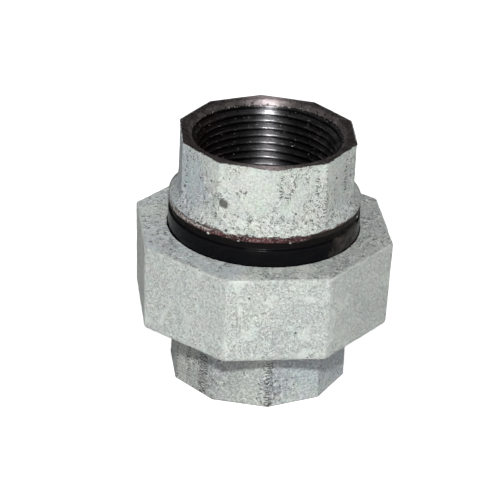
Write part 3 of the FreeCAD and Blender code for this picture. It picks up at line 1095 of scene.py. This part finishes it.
def area_light(name, azimuth, elevation, distance, size, power, tint):
    """A soft round light that faces the target. Only the key is seen in glossy surfaces."""
    a, e = math.radians(CAMERA_AZIMUTH + azimuth), math.radians(elevation)
    back = Vector((math.sin(a) * math.cos(e), -math.cos(a) * math.cos(e), math.sin(e)))
    data = bpy.data.lights.new(name, "AREA")
    data.shape = "DISK"
    data.size = size
    data.energy = power
    data.color = tint
    light = bpy.data.objects.new(name, data)
    light.location = TARGET + back * distance
    light.visible_glossy = name == "key"
    light.rotation_mode = "QUATERNION"
    light.rotation_quaternion = (-back).to_track_quat("-Z", "Y")
    bpy.context.scene.collection.objects.link(light)


class UNION_OT_stage(bpy.types.Operator):
    """Adds the floor, the lights and the camera"""

    bl_idname = "union.stage"
    bl_label = "Stage"

    def execute(self, context):
        scene = context.scene
        scene.view_settings.view_transform = "Standard"
        self.add_floor(scene)
        self.add_world(scene)
        for light in LIGHTS:
            area_light(*light)
        self.add_camera(scene)
        return {"FINISHED"}

    @staticmethod
    def add_floor(scene):
        """A wide level disc just under the lower face, white to the camera with a faint contact shade."""
        reach, rings, spokes = 4.0, 24, 48
        level = BODY_LOW[2] - FLOOR_DROP
        ring = np.linspace(0, 1, rings + 1)[1:, None] ** 2 * reach
        turn = np.arange(spokes)[None, :] * TURN / spokes
        outer = to_points(turn, ring * np.ones_like(turn), level).reshape(-1, 3)
        points = np.concatenate([[[0, 0, level]], outer])
        index = 1 + np.arange(rings * spokes).reshape(rings, spokes)
        nxt = np.roll(index, -1, axis=1)
        quads = np.stack([index[:-1], index[1:], nxt[1:], nxt[:-1]], axis=-1).reshape(-1, 4)
        fan = np.stack([np.zeros(spokes, dtype=int), index[0], nxt[0]], axis=-1)
        mesh = bpy.data.meshes.new("floor")
        mesh.from_pydata(points.tolist(), [], fan.tolist() + quads.tolist())
        floor = bpy.data.objects.new("floor", mesh)
        scene.collection.objects.link(floor)
        material, n = new_material("pale_floor")
        seen = n.add("ShaderNodeLightPath").outputs["Is Camera Ray"]
        matt = n.add("ShaderNodeBsdfDiffuse", {"Color": (0.80, 0.80, 0.80, 1.0)})
        glow = n.add("ShaderNodeEmission", {"Color": (1, 1, 1, 1), "Strength": n.times(seen, FLOOR_GLOW)})
        both = n.add("ShaderNodeAddShader", {0: matt.outputs[0], 1: glow.outputs[0]})
        n.add("ShaderNodeOutputMaterial", {"Surface": both.outputs[0]})
        mesh.materials.append(material)

    @staticmethod
    def add_world(scene):
        """Even pale surroundings, seen as white behind the object."""
        world = bpy.data.worlds.new("studio")
        world.use_nodes = True
        world.node_tree.nodes.clear()
        n = Nodes(world.node_tree)
        seen = n.add("ShaderNodeLightPath").outputs["Is Camera Ray"]
        strength = n.plus(seen, WORLD_STRENGTH)
        background = n.add("ShaderNodeBackground", {"Color": (1, 1, 1, 1), "Strength": strength})
        n.add("ShaderNodeOutputWorld", {"Surface": background.outputs[0]})
        scene.world = world

    @staticmethod
    def add_camera(scene):
        """A long lens a little above the fitting, turned slightly about its own axis."""
        a, e, roll = math.radians(CAMERA_AZIMUTH), math.radians(CAMERA_ELEVATION), math.radians(CAMERA_ROLL)
        right = Vector((math.cos(a), math.sin(a), 0))
        forward = Vector((-math.sin(a) * math.cos(e), math.cos(a) * math.cos(e), -math.sin(e)))
        up = right.cross(forward)
        tilted_right = right * math.cos(roll) + up * math.sin(roll)
        tilted_up = up * math.cos(roll) - right * math.sin(roll)
        aim = right * CAMERA_AIM_SIDE + TARGET
        data = bpy.data.cameras.new("camera")
        data.sensor_width = 36.0
        data.lens = CAMERA_LENS
        data.clip_start, data.clip_end = 0.01, 50.0
        camera = bpy.data.objects.new("camera", data)
        turn = Matrix((tilted_right, tilted_up, -forward)).transposed().to_4x4()
        camera.matrix_world = Matrix.Translation(aim - forward * CAMERA_DISTANCE) @ turn
        scene.collection.objects.link(camera)
        scene.camera = camera


class UNION_PT_panel(bpy.types.Panel):
    """Lists the builders and the sizes and colours they use"""

    bl_label = "Pipe union"
    bl_idname = "UNION_PT_panel"
    bl_space_type = "VIEW_3D"
    bl_region_type = "UI"
    bl_category = "Union"

    def draw(self, context):
        layout = self.layout
        for operator in OPERATORS:
            layout.operator(operator.bl_idname)
        for group in (context.scene.union_sizes, context.scene.union_colours):
            box = layout.box()
            for key in group.bl_rna.properties.keys():
                if key not in {"rna_type", "name"}:
                    box.prop(group, key)


OPERATORS = (UNION_OT_body, UNION_OT_washer, UNION_OT_tail, UNION_OT_nut, UNION_OT_stage)
CLASSES = (UnionSizes, UnionColours, *OPERATORS, UNION_PT_panel)


def register():
    for cls in CLASSES:
        bpy.utils.register_class(cls)
    bpy.types.Scene.union_sizes = bpy.props.PointerProperty(type=UnionSizes)
    bpy.types.Scene.union_colours = bpy.props.PointerProperty(type=UnionColours)


def unregister():
    del bpy.types.Scene.union_colours
    del bpy.types.Scene.union_sizes
    for cls in reversed(CLASSES):
        bpy.utils.unregister_class(cls)


def main():
    """Builds every piece and the stage in order."""
    register()
    bpy.ops.union.threaded_body()
    bpy.ops.union.sealing_washer()
    bpy.ops.union.tail_piece()
    bpy.ops.union.union_nut()
    bpy.ops.union.stage()


if __name__ == "__main__":
    main()
